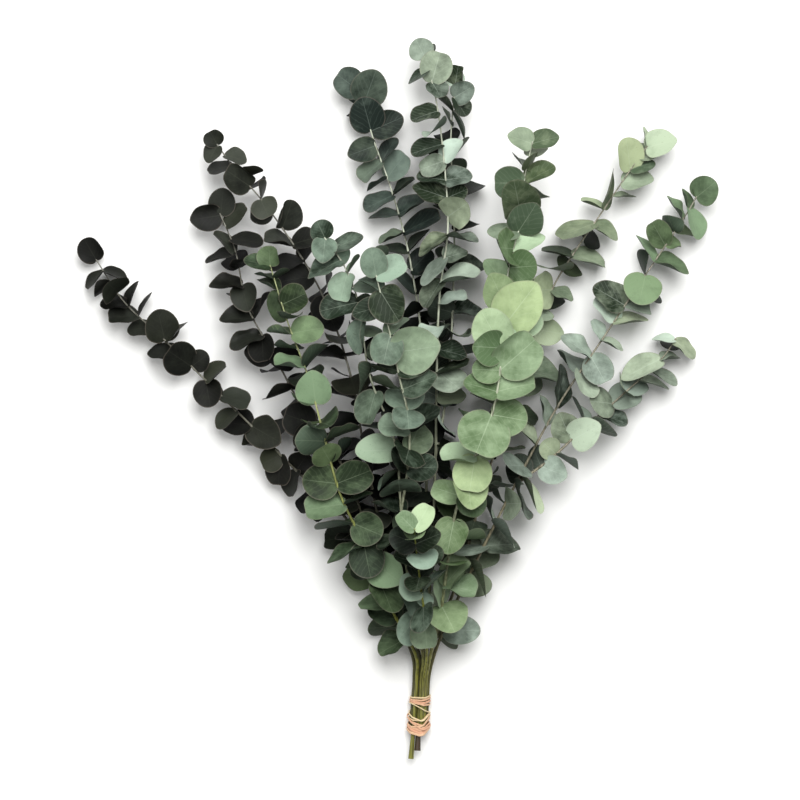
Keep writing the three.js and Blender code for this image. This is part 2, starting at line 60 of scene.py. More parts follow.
# ------------------------------------------------------------------------------------------------
# The bunch, in millimetres
# ------------------------------------------------------------------------------------------------

# The stalks from left to right. Each has:
# - its place in the tied bundle: how many pitches across, and its row
# - its cut end and the radius there, its heel, if it sticks out of the tie
# - the finish of its leaves, and that of the leaves towards its tip, from a given Y on
# - its depth, if that isn't the usual: the higher it is, the more of its leaves are deep-coloured
# - the bark of its stem, and that of its stub below the tie, if they differ
# - the route of its stem above the tie, and that of its side shoot, which starts from a numbered point
#   of the stem's route
STALKS = {
    "stalk_01": {
        "place": (-1, 0), "leaf": "green", "tip": ("smoked", -85), "bark": "grey",
        "route": [
            (15, -234, 6.5), (-14, -180, 10.5), (-43, -115, 17), (-99, -59, 20), (-148, -10, 20),
            (-216, 57, 19), (-250, 89, 17), (-276, 128, 14),
        ],
    },
    "stalk_02": {
        "place": (-1.5, 1), "leaf": "green", "tip": ("smoked", -135), "bark": "grey",
        "route": [
            (12, -234, 11.5), (-11, -180, 21), (-24, -138, 28), (-50, -63, 34), (-86, -11, 36),
            (-115, 43, 34), (-138, 85, 31), (-149, 135, 26), (-163, 169, 22),
        ],
    },
    "stalk_03": {
        "place": (-0.5, 1), "leaf": "green", "tip": ("dusky", -105), "bark": "grey",
        "route": [
            (18, -234, 12), (3, -196, 21), (-14, -131, 36), (-32, -45, 47), (-46, 28, 46),
            (-72, 99, 40), (-119, 173, 32), (-151, 211, 28), (-166, 232, 25),
        ],
    },
    "stalk_04": {
        "place": (-1, 2), "cut_end": (9.9, -325.5, 11.4), "heel": 2.5, "leaf": "green", "bark": "olive",
        "route": [
            (15, -234, 18), (-10, -184, 37), (-30, -134, 52), (-53, -86, 63), (-68, -32, 69),
            (-83, 23, 69), (-100, 68, 64), (-117, 122, 56),
        ],
    },
    "stalk_05": {
        "place": (0, 2), "cut_end": (15.8, -318, 12.2), "heel": 2.9, "leaf": "silver_green",
        "bark": "cream", "stub": "dried",
        "route": [
            (21, -234, 18), (13, -196, 33), (5, -144, 53), (1, -99, 66), (-5, -36, 77),
            (-27, 22, 83), (-38, 90, 80), (-50, 120, 77), (-68, 146, 73),
        ],
        "shoot_from": 3,
        "shoot": [(7, -60, 80), (8, -18, 92), (0, 18, 98), (-14, 81, 100), (-24, 122, 97)],
    },
    "stalk_06": {
        "place": (0, 0), "leaf": "slate", "bark": "cream",
        "route": [
            (21, -234, 6.5), (22, -180, 13), (23, -126, 19), (24, -27, 23), (20, 54, 23),
            (6, 141, 21), (-9, 194, 20), (-25, 239, 19), (-36, 281, 17),
        ],
    },
    "stalk_07": {
        "place": (0.5, 1), "leaf": "silver", "bark": "cream",
        "route": [
            (24, -234, 12.5), (27, -162, 31), (30, -108, 41), (32, -50, 49), (33, 25, 51),
            (36, 99, 48), (43, 153, 44), (40, 212, 40), (32, 273, 36), (22, 311, 33),
        ],
        "shoot_from": 3,
        "shoot": [
            (41, -1, 37), (46, 50, 32), (48, 99, 29), (49, 170, 28), (46, 235, 28), (50, 286, 27),
        ],
    },
    "stalk_08": {
        "place": (1, 2), "leaf": "bright", "tip": ("fresh", 138), "bark": "cream",
        "route": [
            (27, -234, 19), (37, -189, 37), (43, -144, 53), (48, -108, 65), (61, -63, 75),
            (76, -32, 80), (86, 4, 82), (93, 63, 80), (97, 117, 74), (108, 160, 67),
            (111, 195, 61), (119, 232, 55),
        ],
    },
    "stalk_09": {
        "place": (1, 0), "leaf": "fresh", "depth": 1.2, "bark": "brown",
        "route": [
            (27, -234, 7), (54, -158, 15), (78, -72, 21), (101, 0, 23), (137, 99, 23),
            (160, 137, 23), (180, 166, 22), (209, 209, 21), (224, 230, 20),
        ],
    },
    "stalk_10": {
        "place": (1.5, 1), "leaf": "silver", "tip": ("green", 110), "depth": 0.9, "bark": "brown",
        "route": [
            (30, -234, 13.5), (42, -202, 22), (75, -133, 37), (104, -76, 42), (140, -9, 40),
            (184, 57, 34), (217, 106, 29), (259, 168, 23), (269, 185, 20),
        ],
        "shoot_from": 3,
        "shoot": [(137, -52, 39), (162, -29, 34), (198, 2, 27), (240, 41, 20), (250, 56, 17)],
    },
    "stalk_11": {
        "place": (0.5, 3), "leaf": "silver_green", "tip": ("bright", -125), "bark": "olive",
        "route": [
            (24, -234, 25), (23, -202, 44), (19, -170, 66), (15, -138, 90), (13, -118, 112),
            (13, -114, 122),
        ],
    },
}

USUAL_DEPTH = 2
COOLNESS = 2        # the higher it is, the fewer leaves are warm in colour

# The tied bundle: the stems are stacked like pipes about a line that leans a little.
BUNDLE = [(16.4, -303), (18.3, -272), (19.6, -250)]     # X and Y of that line
PITCH = 4.35                                            # between neighbouring stems
ROW_RISE = PITCH * math.sin(math.radians(60))           # from one row of stems to the next
ROW_FLOOR = 4.0                                         # height of the lowest row
TIED_AT = (-289, -272, -252)                            # Y where each stem is held in the bundle
HIDDEN_END = -301                                       # Y where a stem ends inside the tie
STUB_BELOW = -300                                       # Y below which a stem has its stub's bark

OFF_FLOOR = 0.1     # leaves and elastic come no closer to the floor

# The turns of elastic in each part of the tie. A turn has its Y, how much further along its right side
# lies than its middle, how far its top dips towards the cut ends, how many strands it rides over, how
# wide it is spread as a share of the usual width, and how pale it is, from 0 to 1.
TURNS = {
    "upper": [
        (-269.0, 0.4, 0.8, 0, 1, 1), (-271.0, 0.3, 0.9, 0, 1.2, 0.2), (-272.9, -0.3, 1.2, 0, 1.4, 0),
        (-275.3, -0.7, 0.4, 0, 1.1, 0.3), (-278.9, -3.2, 0, 0.3, 0.8, 1),
    ],
    "crossing": [
        (-285.2, -0.3, 3.4, 0.3, 0.9, 1), (-286.8, 1.6, 2.6, 0, 0.9, 0.8), (-289.8, 0.2, 3.4, 0.4, 1.2, 0.2),
        (-291.2, 2.4, 3.0, 1, 1.1, 0.4), (-291.8, -2.6, 3.2, 1.5, 1.1, 0.1),
    ],
    "lower": [
        (-294.6, 0.3, 2.8, 0.5, 1.5, 0.1), (-296.6, -0.4, 3.2, 0.9, 1.5, 0), (-297.2, 0, 0, 0, 1.4, 0.3),
        (-298.4, 0.4, 3.2, 1.3, 1.5, 0.4), (-299.6, 0.1, 0.3, 0, 1.4, 0.2),
    ],
}


# ------------------------------------------------------------------------------------------------
# Settings that a user would change
# ------------------------------------------------------------------------------------------------

def linear(code):
    """An sRGB hex colour as the linear red, green, blue and alpha that Blender's nodes take."""
    def channel(pair):
        value = int(pair, 16) / 255
        return value / 12.92 if value <= 0.04045 else ((value + 0.055) / 1.055) ** 2.4
    return channel(code[1:3]), channel(code[3:5]), channel(code[5:7]), 1.0


def length(name, description, millimetres):
    """A setting that is a length."""
    return FloatProperty(name=name, description=description, default=millimetres * MM, unit="LENGTH")


def share(name, description, value):
    """A setting that is a share of something else, from 0 to 1."""
    return FloatProperty(name=name, description=description, default=value, subtype="FACTOR", min=0, max=1)


def colour(name, description, code):
    """A setting that is a colour."""
    return FloatVectorProperty(
        name=name, description=description, default=linear(code), size=4, subtype="COLOR", min=0, max=1,
    )


class LeafSettings(bpy.types.PropertyGroup):
    """Sizes that all leaves share."""
    thickness: length("Thickness", "Of a blade at its middle, thinning to its edge", 0.6)
    marker: length("Marker thickness", "Of the plain leaves in the frame, at their middle", 1.1)
    bend: FloatProperty(name="Bend", description="Of a blade's sides, in radians over its width", default=1)
    rolled: share("Rolled", "Share of the blades with one side rolled over", 0.14)
    wave: share("Wave", "How far the edge of a blade waves, as a share of its width", 0.045)
    notch: share("Notch", "How deep the base is cut in, as a share of the length", 0.07)
    seed: IntProperty(name="Seed", description="Another number gives other leaves", default=11)


class StemSettings(bpy.types.PropertyGroup):
    """Sizes that all stems share."""
    radius: length("Radius", "Of a stem in the bundle", 1.95)
    tip_radius: length("Tip radius", "Of a stem at its tip", 0.55)
    shoot: share("Side shoot", "Radius of a side shoot, as a share of its stem's", 0.72)
    joint: share("Joints", "How much a stem swells where its leaves grow", 0.28)


class TieSettings(bpy.types.PropertyGroup):
    """The elastic that ties the stems."""
    thickness: length("Thickness", "Of a strand, out from the stems", 0.9)
    width: length("Width", "Of a strand, along the stems", 1.5)
    clearance: length("Clearance", "Between the elastic and the stems", 0.3)
    slack: colour("Colour", "Of the elastic", "#d4a081")
    stretched: colour("Stretched colour", "Of the elastic where it is pulled thin and pale", "#e3d2a6")
    seed: IntProperty(name="Seed", description="Another number winds it a little differently", default=5)


class StageSettings(bpy.types.PropertyGroup):
    """The floor, the light and the camera above them."""
    view: length("View", "Side of the square that the camera sees", 720)
    level: length("Level", "Height above the floor where that square lies", 45)
    distance: length("Distance", "From the camera to that square", 4200)
    floor: colour("Floor", "Of the floor", "#f4f4f2")
    floor_size: length("Floor size", "Side of the floor", 12000)
    room: colour("Room light", "Colour of the light from all round", "#f5f5f4")
    room_strength: FloatProperty(name="Room strength", description="Of that light", default=0.42)
    key: FloatProperty(name="Key", description="Power of the large softbox", default=125, unit="POWER")
    fill: FloatProperty(name="Fill", description="Power of the small softbox", default=12, unit="POWER")


# ------------------------------------------------------------------------------------------------
# Small tools
# ------------------------------------------------------------------------------------------------

def add_node(tree, kind, settings=None):
    """Adds one shader node. A setting goes by property name, or by input name or number, and one whose
    value is another node's output becomes a link."""
    node = tree.nodes.new(kind)
    for name, value in (settings or {}).items():
        if isinstance(value, bpy.types.NodeSocket):
            tree.links.new(value, node.inputs[name])
        elif isinstance(name, str) and hasattr(node, name):
            setattr(node, name, value)
        else:
            node.inputs[name].default_value = value
    return node


def new_material(name):
    """An empty material and its node tree."""
    material = bpy.data.materials.new(name)
    material.use_nodes = True
    material.node_tree.nodes.clear()
    return material, material.node_tree


def finish_material(tree, shader):
    """Gives a material its surface."""
    add_node(tree, "ShaderNodeOutputMaterial", {"Surface": shader.outputs["BSDF"]})


def deselect():
    """Leaves edit mode, with no object selected."""
    if bpy.context.mode != "OBJECT":
        bpy.ops.object.mode_set(mode="OBJECT")
    bpy.ops.object.select_all(action="DESELECT")


def join(objects, name):
    """Joins objects into one piece of that name."""
    deselect()
    piece = objects[0]
    bpy.context.view_layer.objects.active = piece
    for item in objects:
        item.select_set(True)
    if len(objects) > 1:
        bpy.ops.object.join()
    piece.name = name
    piece.data.name = name
    return piece


def smooth(piece, degrees):
    """Shades a piece smooth, apart from its edges that turn by more than so many degrees."""
    deselect()
    piece.select_set(True)
    bpy.context.view_layer.objects.active = piece
    bpy.ops.object.shade_smooth_by_angle(angle=math.radians(degrees))


def attach(piece, node):
    """The piece rides on the bunch and stands for a node of the frame, whose part it hides."""
    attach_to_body(piece, "root")
    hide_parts(node)


# ------------------------------------------------------------------------------------------------
# Stems
# ------------------------------------------------------------------------------------------------

STEP = 3            # between the points of a stem's middle line, in millimetres
SWELLING = 1.8      # how far along a stem the swelling at a joint reaches, in millimetres
HEEL_LENGTH = 27    # how far from its cut end a stem is thicker, in millimetres
TAPER = 0.7         # below 1, a stem thins more near its start than near its tip
FACES_END = -0.9    # a face by the cut end whose normal has a lower Y than this is cut wood
BARK, STUB, WOOD = range(3)     # the finishes of a stem


def bundle_point(y, place):
    """Where a stem's axis passes y in the tied bundle, in millimetres."""
    across, row = place
    low, middle, high = BUNDLE
    start, end = (low, middle) if y < middle[1] else (middle, high)
    x = start[0] + (end[0] - start[0]) * (y - start[1]) / (end[1] - start[1])
    return Vector((x + across * PITCH, y, ROW_FLOOR + row * ROW_RISE))


def smooth_line(points):
    """Points about a step apart on the centripetal Catmull-Rom curve through the given ones."""
    line = [2 * points[0] - points[1], *points, 2 * points[-1] - points[-2]]
    found = []
    for before, start, end, after in zip(line, line[1:], line[2:], line[3:]):
        first, second, third = (
            (b - a).length ** 0.5 for a, b in ((before, start), (start, end), (end, after))
        )
        leaving = (start - before) / first - (end - before) / (first + second)
        leaving = (leaving + (end - start) / second) * second
        arriving = (end - start) / second - (after - start) / (second + third)
        arriving = (arriving + (after - end) / third) * second
        count = max(1, round((end - start).length / STEP))
        for i in range(count):
            t = i / count
            found.append(
                start * (2 * t ** 3 - 3 * t ** 2 + 1) + end * (3 * t ** 2 - 2 * t ** 3)
                + leaving * (t ** 3 - 2 * t ** 2 + t) + arriving * (t ** 3 - t ** 2)
            )
    return [*found, points[-1]]


def stem_lines(stalk):
    """The middle lines of a stalk's stem and side shoot, in metres."""
    tied = [bundle_point(y, stalk["place"]) for y in TIED_AT]
    end = Vector(stalk["cut_end"]) if "cut_end" in stalk else bundle_point(HIDDEN_END, stalk["place"])
    routes = [[end, *tied, *map(Vector, stalk["route"])]]
    if "shoot" in stalk:
        routes.append([Vector(stalk["route"][stalk["shoot_from"]]), *map(Vector, stalk["shoot"])])
    return [[point * MM for point in smooth_line(route)] for route in routes]


def stem_tube(name, line, radii):
    """A round stem along a line, thinner or thicker from point to point, closed at both ends."""
    deselect()
    bpy.ops.curve.primitive_nurbs_path_add()
    tube = bpy.context.object
    tube.name = name
    tube.data.splines.clear()
    spline = tube.data.splines.new("POLY")
    spline.points.add(len(line) - 1)
    for point, place, radius in zip(spline.points, line, radii):
        point.co = (*place, 1)
        point.radius = radius
    tube.data.bevel_depth = 1
    tube.data.bevel_resolution = 4
    tube.data.use_fill_caps = True
    bpy.ops.object.convert(target="MESH")
    return tube


def stem_radii(line, start, end, heel, joints, swelling):
    """The radius at each point: a taper with a ring at each joint where leaves grow, and thicker towards
    the heel."""
    radii = []
    for i, point in enumerate(line):
        nearest = min((joint - point).length for joint in joints)
        ring = math.exp(-((nearest / (SWELLING * MM)) ** 2))
        way = (i / (len(line) - 1)) ** TAPER
        thicker = max(0, 1 - (point - line[0]).length / (HEEL_LENGTH * MM)) * (heel - start)
        radii.append((start + (end - start) * way) * (1 + swelling * ring) + thicker)
    return radii


class BUNCH_OT_stems(bpy.types.Operator):
    """Builds the stem of each stalk, with its side shoot"""
    bl_idname = "bunch.stems"
    bl_label = "Stems"

    def execute(self, context):
        sizes = context.scene.bunch_stems
        barks = {name: bark_material(name, *colours) for name, colours in BARKS.items()}
        wood = cut_wood_material()
        for name, stalk in STALKS.items():
            joints = [leaf["base"] for leaf in leaves_of(name)]
            lines = stem_lines(stalk)
            heel = stalk["heel"] * MM if "heel" in stalk else sizes.radius
            shoot = sizes.radius * sizes.shoot
            starts = [(sizes.radius, heel), (shoot, shoot)]
            tubes = [
                stem_tube(name, line, stem_radii(line, start, sizes.tip_radius, cut, joints, sizes.joint))
                for line, (start, cut) in zip(lines, starts)
            ]
            piece = join(tubes, name + "_stem")
            for finish in (barks[stalk["bark"]], barks[stalk.get("stub", stalk["bark"])], wood):
                piece.data.materials.append(finish)
            cut_end = lines[0][0]
            for face in piece.data.polygons:
                if (face.center - cut_end).length < heel and face.normal.y < FACES_END:
                    face.material_index = WOOD
                else:
                    face.material_index = STUB if face.center.y < STUB_BELOW * MM else BARK
            smooth(piece, degrees=50)
            attach(piece, name)
        return {"FINISHED"}


# ------------------------------------------------------------------------------------------------
# Leaves
# ------------------------------------------------------------------------------------------------

# Where the corners of a plain leaf in the frame lie, from its middle, as shares of its length and of its
# width: its tip, its sides and its neck.
PLAIN_LEAF = [
    (0.5, 0), (0.3, 0.46), (0.3, -0.46), (-0.15, 0.5), (-0.15, -0.5), (-0.37, 0.06), (-0.37, -0.06),
]
FEWEST_CORNERS = 5  # how many of those seven show at least, as some may be lost in the stem
SLACK = 0.03        # how far its thickness may be off, as a share
MIDDLE_DROP = 0.25  # how much of the drop of a curled leaf lies between its base and its middle
ONE_CORNER = 0.001  # how far apart corners of triangles may be that are one, in millimetres

# A leaf's outline: how far its tip is drawn out (or in), and how much broader it is near its base.
FORMS = {
    "round": (0.0, 0.0),
    "pointed": (0.06, 0.05),
    "egg": (0.01, 0.08),
    "notched": (-0.06, -0.05),
}

# The blank that leaves are shaped from, which is 1 across.
EDGE = 0.5          # radius of its rim
MIDDLE = 0.34       # radius of its middle
SPAN = 4            # faces across that middle, and along it
SQUARE = 1          # turns those faces so that they run straight along the blade
NOTCH_REACH = 0.16  # how far round its base it follows when the base is moved
TIP_REACH = 0.3     # how far round its tip it follows when the tip is moved
NEAR = 0.01         # how far from a place a vertex may be that counts as lying there
MERGED = 0.0001     # how far apart two vertices may be that are merged

# How a leaf bends. A pair is a range that each leaf's own value is drawn from.
WAVES = (0.7, 1.6)          # along an edge
WAVE_HEIGHT = (0.2, 1.6)    # as a share of the usual
BEHIND = 4                  # how far the wave of one edge is behind that of the other, in radians
TWIST = (-0.45, 0.45)       # from its base to its tip, in radians
STILL = 0.3                 # where along it the twist doesn't turn it, as a share of its length
BEND = (0.3, 1.9)           # of a side, as a share of the usual
ROLLED_FROM = (0.1, 0.2)    # how far from the midrib a rolled side starts to bend, as a share of the width
ROLLED_BEND = (3.5, 6)      # of a rolled side, in radians over the width
FLAT = 0.001                # a side that turns by less than this, in radians, is flat

# How a leaf clears the others.
NECK = 0.18         # share of it by its stem, where the leaves of a pair meet
# What is tried until it clears the others: how much of its habit it keeps, and how far it is tilted,
# in degrees.
TRIALS = [(1, 0), (0.7, 0), (0.45, 0), (0.2, 0), (0, 0)] + [
    (ease, up * tilt) for tilt in (3, 6, 9, 12, 16, 20, 24, 28) for ease in (0.3, 0) for up in (1, -1)
]

# Which leaves get painted shade: those inside the bunch, beneath others, are painted darker.
OVER = 7            # how much higher the middle of a leaf is that shades another, in millimetres
BESIDE = 15         # how far to its side that middle may be, in millimetres
FULL_SHADE = 2      # how many leaves shade another fully
THIN_SHADE = 0.3    # what is left of their shade where the bunch is thin
THIN_BELOW = -220   # Y where the bunch starts to thicken, in millimetres
THICK_ABOVE = -90   # Y where it is at its thickest, in millimetres


def merged_solid(node):
    """A copy of a node of the frame, its loose triangles merged."""
    solid = bmesh.new()
    solid.from_mesh(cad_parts[node].data)
    bmesh.ops.remove_doubles(solid, verts=solid.verts, dist=ONE_CORNER * MM)
    solid.verts.index_update()
    return solid


def read_leaf(low, high, rim):
    """The place of a plain leaf, from the middles of its two faces and the corners round them. Its tip is
    the corner that gives the outline of a plain leaf with the least misfit."""
    middle = (low + high) / 2
    facing = (high - low).normalized()
    best = None
    for tip in rim:
        along = (tip - middle) - facing * (tip - middle).dot(facing)
        size = 2 * along.length
        along.normalize()
        across = facing.cross(along)
        width = 2 * max(abs((corner - middle).dot(across)) for corner in rim)
        misfit = 0
        for u, v in PLAIN_LEAF:
            expected = Vector((u * size, v * width))
            misfit += min(
                (expected - Vector(((corner - middle).dot(along), (corner - middle).dot(across)))).length
                for corner in rim
            )
        if best is None or misfit < best[0]:
            best = misfit, along, size, width, (tip - middle).dot(facing)
    _, along, size, width, drop = best
    # The edge of a plain leaf is raised on the side that it faces, apart from its tip.
    sides = sum((corner - middle).dot(facing) for corner in rim) - drop
    if sides < 0:
        facing, drop = -facing, -drop
    curl = max(0, -drop / ((1 - MIDDLE_DROP) * size))
    base = middle - along * size / 2 + facing * MIDDLE_DROP * curl * size
    return {"base": base, "along": along, "facing": facing, "length": size, "width": width, "curl": curl}


def leaves_of(node):
    """The leaves of a stalk of the frame. Each shows as two points, one blade's thickness apart, that
    the same ring of corners surrounds."""
    thickness = bpy.context.scene.bunch_leaves.marker
    solid = merged_solid(node)
    around = {v: {edge.other_vert(v) for edge in v.link_edges} for v in solid.verts}
    found = []
    for low in solid.verts:
        for high in sorted({w for v in around[low] for w in around[v]}, key=lambda v: v.index):
            apart = (high.co - low.co).length
            rim = around[low] & around[high]
            is_blade = abs(apart / thickness - 1) < SLACK and len(rim) >= FEWEST_CORNERS
            if high.index > low.index and is_blade:
                corners = [v.co.copy() for v in sorted(rim, key=lambda v: v.index)]
                found.append(read_leaf(low.co.copy(), high.co.copy(), corners))
    solid.free()
    if not found:
        raise RuntimeError(f"no leaves were found on {node}")
    return sorted(found, key=lambda leaf: tuple(leaf["base"]))


def leaf_blank(form, thickness, notch):
    """One flat leaf, about 1 long and 1 wide, its base at the origin and its tip towards +Y. It is a
    closed lens of two sheets that share their rim, and its UV map is the disc that it was shaped from."""
    tip, egg = FORMS[form]
    deselect()
    bpy.ops.mesh.primitive_circle_add(vertices=4 * SPAN, radius=MIDDLE, fill_type="NOTHING")
    blank = bpy.context.object
    blank.name = "leaf_" + form
    bpy.ops.object.mode_set(mode="EDIT")
    bpy.ops.mesh.select_all(action="SELECT")
    bpy.ops.mesh.fill_grid(span=SPAN, offset=SQUARE)
    bpy.ops.mesh.select_mode(type="EDGE")
    bpy.ops.mesh.select_all(action="SELECT")
    bpy.ops.mesh.region_to_loop()
    bpy.ops.mesh.extrude_region_move()
    bpy.ops.transform.resize(value=(EDGE / MIDDLE, EDGE / MIDDLE, 1), center_override=(0, 0, 0))
    bpy.ops.mesh.subdivide(number_cuts=1, ngon=True)
    bpy.ops.mesh.select_mode(type="VERT")
    pick(blank, on_spoke)
    bpy.ops.mesh.vert_connect()
    bpy.ops.object.mode_set(mode="OBJECT")
    round_off(blank)
    name_disc(blank)
    for y, move, reach in ((-EDGE, notch, NOTCH_REACH), (EDGE, tip, TIP_REACH)):
        bpy.ops.object.mode_set(mode="EDIT")
        pick(blank, lambda co: abs(co.x) < NEAR and abs(co.y - y) < NEAR)
        bpy.ops.transform.translate(
            value=(0, move, 0), use_proportional_edit=True,
            proportional_edit_falloff="SMOOTH", proportional_size=reach,
        )
        bpy.ops.object.mode_set(mode="OBJECT")
    for v in blank.data.vertices:
        v.co.x *= 1 - 2 * egg * v.co.y
    base = min(v.co.y for v in blank.data.vertices if abs(v.co.x) < NEAR)
    blank.data.transform(Matrix.Translation((0, -base, 0)))
    add_underside(blank, thickness)
    return blank


def on_spoke(co):
    """Whether a vertex is halfway along an edge of the rim, or every second one round the middle. Joined
    to each other, they leave no face that has all its corners on the rim."""
    # A step is half an edge of the rim, so there are 4 * SPAN of them in half a turn.
    step = round(math.atan2(co.y, co.x) / math.pi * 4 * SPAN)
    if co.length > (MIDDLE + EDGE) / 2:
        return step % 2 == 1
    return abs(co.length - MIDDLE) < NEAR and step % 4 == 0


def round_off(blank):
    """Moves the rim of a blank out onto its circle."""
    edges = {key for face in blank.data.polygons for key in face.edge_keys}
    shared = [key for face in blank.data.polygons for key in face.edge_keys]
    rim = {v for key in edges if shared.count(key) == 1 for v in key}
    for v in rim:
        blank.data.vertices[v].co.normalize()
        blank.data.vertices[v].co *= EDGE


def pick(blank, test):
    """Selects the vertices that pass the test, and nothing else."""
    mesh = bmesh.from_edit_mesh(blank.data)
    for v in mesh.verts:
        v.select_set(test(v.co))
    mesh.select_flush(True)
    mesh.select_flush(False)
    bmesh.update_edit_mesh(blank.data)


def name_disc(blank):
    """Lays a UV map flat on the disc, which fills it from 0 to 1."""
    for spare in list(blank.data.uv_layers):
        blank.data.uv_layers.remove(spare)
    layer = blank.data.uv_layers.new(name="disc")
    for loop in blank.data.loops:
        co = blank.data.vertices[loop.vertex_index].co
        layer.data[loop.index].uv = (co.x + EDGE, co.y + EDGE)


def add_underside(blank, thickness):
    """Doubles a sheet into a lens: the copy faces down, and all but its rim lies lower. Its faces get the
    attributes that its material reads."""
    upper = len(blank.data.polygons)
    bpy.ops.object.mode_set(mode="EDIT")
    bpy.ops.mesh.select_all(action="SELECT")
    bpy.ops.mesh.duplicate()
    bpy.ops.mesh.flip_normals()
    mesh = bmesh.from_edit_mesh(blank.data)
    for v in mesh.verts:
        if v.select and not v.is_boundary:
            v.co.z -= thickness
    bmesh.update_edit_mesh(blank.data)
    bpy.ops.mesh.select_all(action="SELECT")
    bpy.ops.mesh.remove_doubles(threshold=MERGED)
    bpy.ops.object.mode_set(mode="OBJECT")
    # Marks the underside faces, whose colour the material darkens as painted shade.
    painted_underside_shade = blank.data.attributes.new("underside", "FLOAT", "FACE")
    for i, entry in enumerate(painted_underside_shade.data):
        entry.value = 0 if i < upper else 1
    for name in ("tone", "warmth", "inner"):
        blank.data.attributes.new(name, "FLOAT", "FACE")


def side_of_blade(distance, crease, bend):
    """How far out and up a point on a blade's side lies, if the side bends upwards from a crease."""
    beyond = max(0, distance - crease)
    if beyond * bend < FLAT:
        return distance, 0
    return crease + math.sin(bend * beyond) / bend, (1 - math.cos(bend * beyond)) / bend


def draw_habit(sizes, chance):
    """How one blade happens to wave, twist and bend. Each side has the place where it starts to bend,
    and its bend beyond that."""
    habit = {
        "phase": chance.uniform(0, 2 * math.pi),
        "waves": chance.uniform(*WAVES),
        "wave": sizes.wave * chance.uniform(*WAVE_HEIGHT),
        "twist": chance.uniform(*TWIST),
        "sides": {side: (0, sizes.bend * chance.uniform(*BEND)) for side in (-1, 1)},
    }
    if chance.random() < sizes.rolled:
        start = chance.uniform(*ROLLED_FROM)
        bend = chance.uniform(*ROLLED_BEND)
        habit["sides"][chance.choice((-1, 1))] = start, bend
    return habit


def shape_leaf(copy, blank, leaf, habit, ease, tilt):
    """Bends a copy of a blank and lays it where a leaf of the frame lies. At an ease of 1 it takes all
    of its habit, and at 0 it is as flat as the plain leaf. The tilt, in degrees, lifts its tip."""
    across = leaf["along"].cross(leaf["facing"])
    lift = math.tan(math.radians(tilt))
    for v, flat in zip(copy.data.vertices, blank.data.vertices):
        u, side = flat.co.y, flat.co.x
        hand = 1 if side > 0 else -1
        crease, bend = habit["sides"][hand]
        out, rise = side_of_blade(abs(side), crease, bend * ease)
        swing = math.sin(habit["waves"] * 2 * math.pi * u + habit["phase"] + BEHIND / 2 * hand)
        rise += ease * habit["wave"] * swing * (side / EDGE) ** 2
        turn = ease * habit["twist"] * (u - STILL)
        sideways = hand * out * math.cos(turn) - rise * math.sin(turn)
        upwards = rise * math.cos(turn) + hand * out * math.sin(turn)
        upwards = upwards * leaf["width"] + (lift * u - leaf["curl"] * u * u) * leaf["length"] + flat.co.z
        place = leaf["base"] + leaf["along"] * (u * leaf["length"])
        place += across * (sideways * leaf["width"]) + leaf["facing"] * upwards
        place.z = max(place.z, OFF_FLOOR * MM)
        v.co = place


def grow_leaf(blank, leaf, habit, grown):
    """A leaf with its habit, eased and tilted as far as it has to be to clear the leaves grown, or else to
    cut into them the least."""
    copy = blank.copy()
    copy.data = blank.data.copy()
    bpy.context.collection.objects.link(copy)
    reach = leaf["length"] + leaf["width"]
    # Leaves whose bases lie further apart than this can't touch.
    near = [tree for base, other_reach, tree in grown if (base - leaf["base"]).length < reach + other_reach]
    faces = [tuple(face.vertices) for face in blank.data.polygons if face.center.y > NECK]
    tried = []
    for number, (ease, tilt) in enumerate(TRIALS):
        shape_leaf(copy, blank, leaf, habit, ease, tilt)
        tree = BVHTree.FromPolygons([v.co.copy() for v in copy.data.vertices], faces)
        tried.append((sum(len(tree.overlap(other)) for other in near), number, tree))
        if tried[-1][0] == 0:
            break
    _, best, tree = min(tried, key=lambda trial: trial[:2])
    shape_leaf(copy, blank, leaf, habit, *TRIALS[best])
    grown.append((leaf["base"], reach / 2, tree))
    return copy


def note_on(piece, **values):
    """Notes values on all faces of a piece, for its material to read."""
    for name, value in values.items():
        for entry in piece.data.attributes[name].data:
            entry.value = value


def painted_shade_on(leaf, others):
    """How much painted shade a leaf gets, from 0 to 1, from the leaves above it: its colour is darkened as
    if they shaded it, but less so low on the stems, where the bunch is thin."""
    middle = leaf["base"] + leaf["along"] * leaf["length"] / 2
    above = 0
    for other in others:
        apart = other["base"] + other["along"] * other["length"] / 2 - middle
        above += apart.z > OVER * MM and apart.xy.length < BESIDE * MM
    way = (leaf["base"].y - THIN_BELOW * MM) / (THICK_ABOVE * MM - THIN_BELOW * MM)
    return min(1, above / FULL_SHADE) * min(1, max(THIN_SHADE, way))


class BUNCH_OT_leaves(bpy.types.Operator):
    """Grows detailed leaves where the frame's stalks have their plain ones"""
    bl_idname = "bunch.leaves"
    bl_label = "Leaves"

    def execute(self, context):
        sizes = context.scene.bunch_leaves
        blanks = [leaf_blank(form, sizes.thickness, sizes.notch) for form in FORMS]
        finishes = {name: leaf_material(name, *colours) for name, colours in LEAF_COLOURS.items()}
        found = {name: leaves_of(name) for name in STALKS}
        everywhere = [leaf for leaves in found.values() for leaf in leaves]
        grown = []
        for number, (name, stalk) in enumerate(STALKS.items()):
            chance = random.Random(sizes.seed * 1000 + number)
            tip, tip_from = stalk.get("tip", (stalk["leaf"], 0))
            copies = []
            for leaf in found[name]:
                blank = chance.choice(blanks)
                copy = grow_leaf(blank, leaf, draw_habit(sizes, chance), grown)
                tone = chance.random() ** stalk.get("depth", USUAL_DEPTH)
                warmth = chance.random() ** COOLNESS
                note_on(copy, tone=tone, warmth=warmth, inner=painted_shade_on(leaf, everywhere))
                finish = tip if leaf["base"].y > tip_from * MM else stalk["leaf"]
                copy.data.materials.append(finishes[finish])
                copies.append(copy)
            piece = join(copies, name + "_leaves")
            smooth(piece, degrees=40)
            attach(piece, name)
        for blank in blanks:
            bpy.data.objects.remove(blank)
        return {"FINISHED"}


